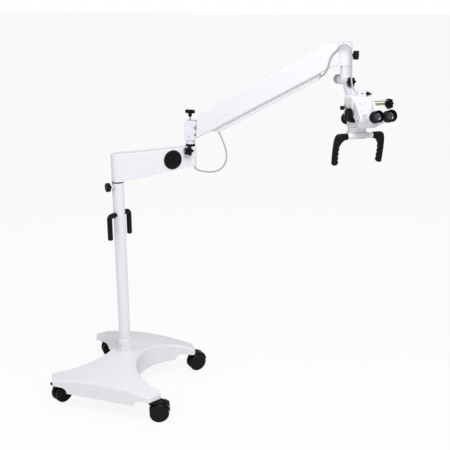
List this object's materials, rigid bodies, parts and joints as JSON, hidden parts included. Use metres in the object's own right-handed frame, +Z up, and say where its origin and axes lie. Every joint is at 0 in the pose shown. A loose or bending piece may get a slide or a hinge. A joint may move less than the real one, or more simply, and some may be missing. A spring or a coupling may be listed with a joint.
{
  "type": "surgical microscope on a floor stand",
  "caption": "Floor-standing examination microscope: wheeled base, column, swinging arm, sprung parallelogram arm, tilting binocular head with steering grips.",
  "frame": {"origin": "on the floor, on the column's axis", "axes": "+Z up along the column, +X to the right along the base's front edge, +Y to the base's rear"},
  "size_m": [1.6747, 0.7073, 1.8638],
  "materials": {
    "white_cast": "satin white paint",
    "white_steel": "satin white paint",
    "white_moulded": "smooth white moulding",
    "grey_cast": "satin light grey paint",
    "black_plastic": "fine texture",
    "black_rubber": "soft matt",
    "tread": "smooth black tread",
    "steel": "machined",
    "black_steel": "black powder coat",
    "ballast_iron": "rough",
    "optic": "coated",
    "cable": "smooth grey sheath"
  },
  "bodies": {
    "base": {"base_cover": "white_moulded", "base_frame": "black_steel", "ballast": "ballast_iron", "column_collar": "white_cast", "column_tube": "white_steel", "base_fittings": "black_plastic", "push_handles": "black_plastic"},
    "column_knob": {"column_knob": "black_plastic"},
    "lower_arm": {"horizontal_arm": "white_cast", "arm_fittings": "steel", "arm_trims": "black_plastic"},
    "arm_knob": {"arm_knob": "black_plastic"},
    "yoke": {"yoke": "white_cast", "yoke_fittings": "steel"},
    "tee_knob": {"tee_knob": "black_plastic"},
    "spring_arm": {"arm_cover": "white_moulded", "arm_inside": "steel", "gas_strut": "black_steel", "cable_channel": "white_moulded", "cable_loop": "cable", "cable_drape": "cable"},
    "guide_link": {"guide_link": "steel"},
    "far_housing": {"far_housing": "white_cast", "far_fittings": "steel"},
    "far_knob": {"far_knob": "black_plastic"},
    "drop_tube": {"drop_tube": "white_cast", "tube_fittings": "steel"},
    "carrier": {"tilt_carrier": "white_cast", "roll_shaft": "steel", "roll_cap": "grey_cast"},
    "roll_knob": {"roll_knob": "black_plastic"},
    "head": {"head_body": "white_moulded", "head_band": "black_plastic", "objective_housing": "white_cast", "objective_lens": "optic", "lamp_module": "white_moulded", "head_shafts": "steel", "handle_bar": "white_cast", "handle_grips": "black_rubber", "bino_mount": "white_cast"},
    "tilt_knob": {"tilt_knob": "black_plastic"},
    "lamp_dial": {"lamp_dial": "black_plastic"},
    "zoom_knobs": {"zoom_knobs": "black_plastic"},
    "filter_knob": {"filter_knob": "black_plastic"},
    "rear_dial": {"rear_dial": "black_plastic"},
    "binocular": {"bino_drum": "white_cast"},
    "eye_left": {"eye_tube_left": "white_cast"},
    "eye_right": {"eye_tube_right": "white_cast"},
    "eyecup_left": {"eyecup_left": "black_rubber"},
    "eyecup_right": {"eyecup_right": "black_rubber"},
    "caster_fl": {"caster_hood_fl": "black_plastic"},
    "wheels_fl": {"caster_wheels_fl": "tread"},
    "pedal_fl": {"caster_pedal_fl": "black_plastic"},
    "caster_fr": {"caster_hood_fr": "black_plastic"},
    "wheels_fr": {"caster_wheels_fr": "tread"},
    "pedal_fr": {"caster_pedal_fr": "black_plastic"},
    "caster_rr": {"caster_hood_rr": "black_plastic"},
    "wheels_rr": {"caster_wheels_rr": "tread"},
    "caster_rl": {"caster_hood_rl": "black_plastic"},
    "wheels_rl": {"caster_wheels_rl": "tread"}
  },
  "joints": [
    {"name": "caster_fl_swivel", "type": "hinge", "parent": "base", "child": "caster_fl", "pos_m": [-0.277, -0.277, 0.118], "axis": [0, 0, 1], "continuous": true},
    {"name": "caster_fl_roll", "type": "hinge", "parent": "caster_fl", "child": "wheels_fl", "pos_m": [-0.2621, -0.24644, 0.05], "axis": [-0.8988, 0.4384, 0], "continuous": true},
    {"name": "caster_fl_brake", "type": "hinge", "parent": "caster_fl", "child": "pedal_fl", "pos_m": [-0.24982, -0.22127, 0.106], "axis": [-0.8988, 0.4384, 0], "range_deg": [-8, 0]},
    {"name": "caster_fr_swivel", "type": "hinge", "parent": "base", "child": "caster_fr", "pos_m": [0.277, -0.277, 0.118], "axis": [0, 0, 1], "continuous": true},
    {"name": "caster_fr_roll", "type": "hinge", "parent": "caster_fr", "child": "wheels_fr", "pos_m": [0.30756, -0.2621, 0.05], "axis": [-0.4384, 0.8988, 0], "continuous": true},
    {"name": "caster_fr_brake", "type": "hinge", "parent": "caster_fr", "child": "pedal_fr", "pos_m": [0.33272, -0.24982, 0.106], "axis": [-0.4384, 0.8988, 0], "range_deg": [-8, 0]},
    {"name": "caster_rr_swivel", "type": "hinge", "parent": "base", "child": "caster_rr", "pos_m": [0.277, 0.277, 0.118], "axis": [0, 0, 1], "continuous": true},
    {"name": "caster_rr_roll", "type": "hinge", "parent": "caster_rr", "child": "wheels_rr", "pos_m": [0.29975, 0.30227, 0.05], "axis": [-0.7431, 0.6691, 0], "continuous": true},
    {"name": "caster_rl_swivel", "type": "hinge", "parent": "base", "child": "caster_rl", "pos_m": [-0.277, 0.277, 0.118], "axis": [0, 0, 1], "continuous": true},
    {"name": "caster_rl_roll", "type": "hinge", "parent": "caster_rl", "child": "wheels_rl", "pos_m": [-0.25095, 0.29885, 0.05], "axis": [-0.6428, 0.766, 0], "continuous": true},
    {"name": "lower_arm_turn", "type": "hinge", "parent": "base", "child": "lower_arm", "pos_m": [0, 0, 1.17], "axis": [0, 0, 1], "range_deg": [-170, 170]},
    {"name": "column_lock_turn", "type": "hinge", "parent": "base", "child": "column_knob", "pos_m": [-0.03056, -0.03165, 1.145], "axis": [-0.6947, -0.7193, 0], "range_deg": [-180, 0]},
    {"name": "arm_lock_turn", "type": "hinge", "parent": "lower_arm", "child": "arm_knob", "pos_m": [0.29135, 0.24412, 1.301], "axis": [0.7193, -0.6947, 0], "range_deg": [-180, 0]},
    {"name": "yoke_turn", "type": "hinge", "parent": "lower_arm", "child": "yoke", "pos_m": [0.2862, 0.29637, 1.325], "axis": [0, 0, 1], "range_deg": [-70, 160]},
    {"name": "tee_lock_turn", "type": "hinge", "parent": "yoke", "child": "tee_knob", "pos_m": [0.2862, 0.29637, 1.46], "axis": [0, 0, 1], "range_deg": [-180, 0]},
    {"name": "arm_lift", "type": "hinge", "parent": "yoke", "child": "spring_arm", "pos_m": [0.32449, 0.2973, 1.4196], "axis": [0.0243, -0.9997, 0], "range_deg": [-50, 8], "deforming": ["cable_loop"]},
    {"name": "guide_link_swing", "type": "hinge", "parent": "yoke", "child": "guide_link", "pos_m": [0.32449, 0.2973, 1.3816], "axis": [0.0243, -0.9997, 0], "range_deg": [-50, 8]},
    {"name": "far_housing_level", "type": "hinge", "parent": "spring_arm", "child": "far_housing", "pos_m": [1.03239, 0.31447, 1.81082], "axis": [0.0243, -0.9997, 0], "range_deg": [-8, 50], "deforming": ["cable_drape"]},
    {"name": "far_lock_turn", "type": "hinge", "parent": "far_housing", "child": "far_knob", "pos_m": [1.11816, 0.31655, 1.80282], "axis": [0.9997, 0.0243, 0], "range_deg": [-180, 0]},
    {"name": "drop_tube_turn", "type": "hinge", "parent": "far_housing", "child": "drop_tube", "pos_m": [1.08217, 0.31568, 1.753], "axis": [0, 0, 1], "range_deg": [-90, 150]},
    {"name": "head_roll", "type": "hinge", "parent": "drop_tube", "child": "carrier", "pos_m": [1.08217, 0.31568, 1.6826], "axis": [-0.6184, 0.7859, 0], "range_deg": [-45, 45]},
    {"name": "roll_lock_turn", "type": "hinge", "parent": "carrier", "child": "roll_knob", "pos_m": [1.11927, 0.26853, 1.6826], "axis": [0.6184, -0.7859, 0], "range_deg": [-180, 0]},
    {"name": "head_tilt", "type": "hinge", "parent": "carrier", "child": "head", "pos_m": [1.14648, 0.23395, 1.575], "axis": [0.7859, 0.6184, 0], "range_deg": [-40, 30]},
    {"name": "tilt_lock_turn", "type": "hinge", "parent": "head", "child": "tilt_knob", "pos_m": [1.28951, 0.3465, 1.575], "axis": [0.7859, 0.6184, 0], "range_deg": [-180, 0]},
    {"name": "lamp_dial_turn", "type": "hinge", "parent": "head", "child": "lamp_dial", "pos_m": [1.21156, 0.18845, 1.64], "axis": [0.6184, -0.7859, 0], "range_deg": [0, 270]},
    {"name": "zoom_turn", "type": "hinge", "parent": "head", "child": "zoom_knobs", "pos_m": [1.18359, 0.1868, 1.549], "axis": [0.7859, 0.6184, 0], "continuous": true},
    {"name": "filter_turn", "type": "hinge", "parent": "head", "child": "filter_knob", "pos_m": [1.10013, 0.17966, 1.57], "axis": [-0.7859, -0.6184, 0], "range_deg": [0, 90]},
    {"name": "rear_dial_turn", "type": "hinge", "parent": "head", "child": "rear_dial", "pos_m": [1.11435, 0.23921, 1.513], "axis": [-0.6184, 0.7859, 0], "continuous": true},
    {"name": "binocular_tilt", "type": "hinge", "parent": "head", "child": "binocular", "pos_m": [1.22007, 0.14044, 1.522], "axis": [0.7859, 0.6184, 0], "range_deg": [-30, 25]},
    {"name": "eye_left_slide", "type": "slide", "parent": "binocular", "child": "eye_left", "axis": [0.7859, 0.6184, 0], "range_m": [-0.005, 0.004]},
    {"name": "eye_right_slide", "type": "slide", "parent": "binocular", "child": "eye_right", "axis": [0.7859, 0.6184, 0], "range_m": [-0.004, 0.005]},
    {"name": "diopter_left_turn", "type": "hinge", "parent": "eye_left", "child": "eyecup_left", "pos_m": [1.27142, 0.02183, 1.55784], "axis": [0.5945, -0.7554, 0.2756], "range_deg": [-60, 60]},
    {"name": "diopter_right_turn", "type": "hinge", "parent": "eye_right", "child": "eyecup_right", "pos_m": [1.32329, 0.06264, 1.55784], "axis": [0.5945, -0.7554, 0.2756], "range_deg": [-60, 60]}
  ],
  "couplings": [
    {"joint": "guide_link_swing", "follows": "arm_lift", "ratio": 1},
    {"joint": "far_housing_level", "follows": "arm_lift", "ratio": -1},
    {"joint": "eye_right_slide", "follows": "eye_left_slide", "ratio": -1}
  ]
}
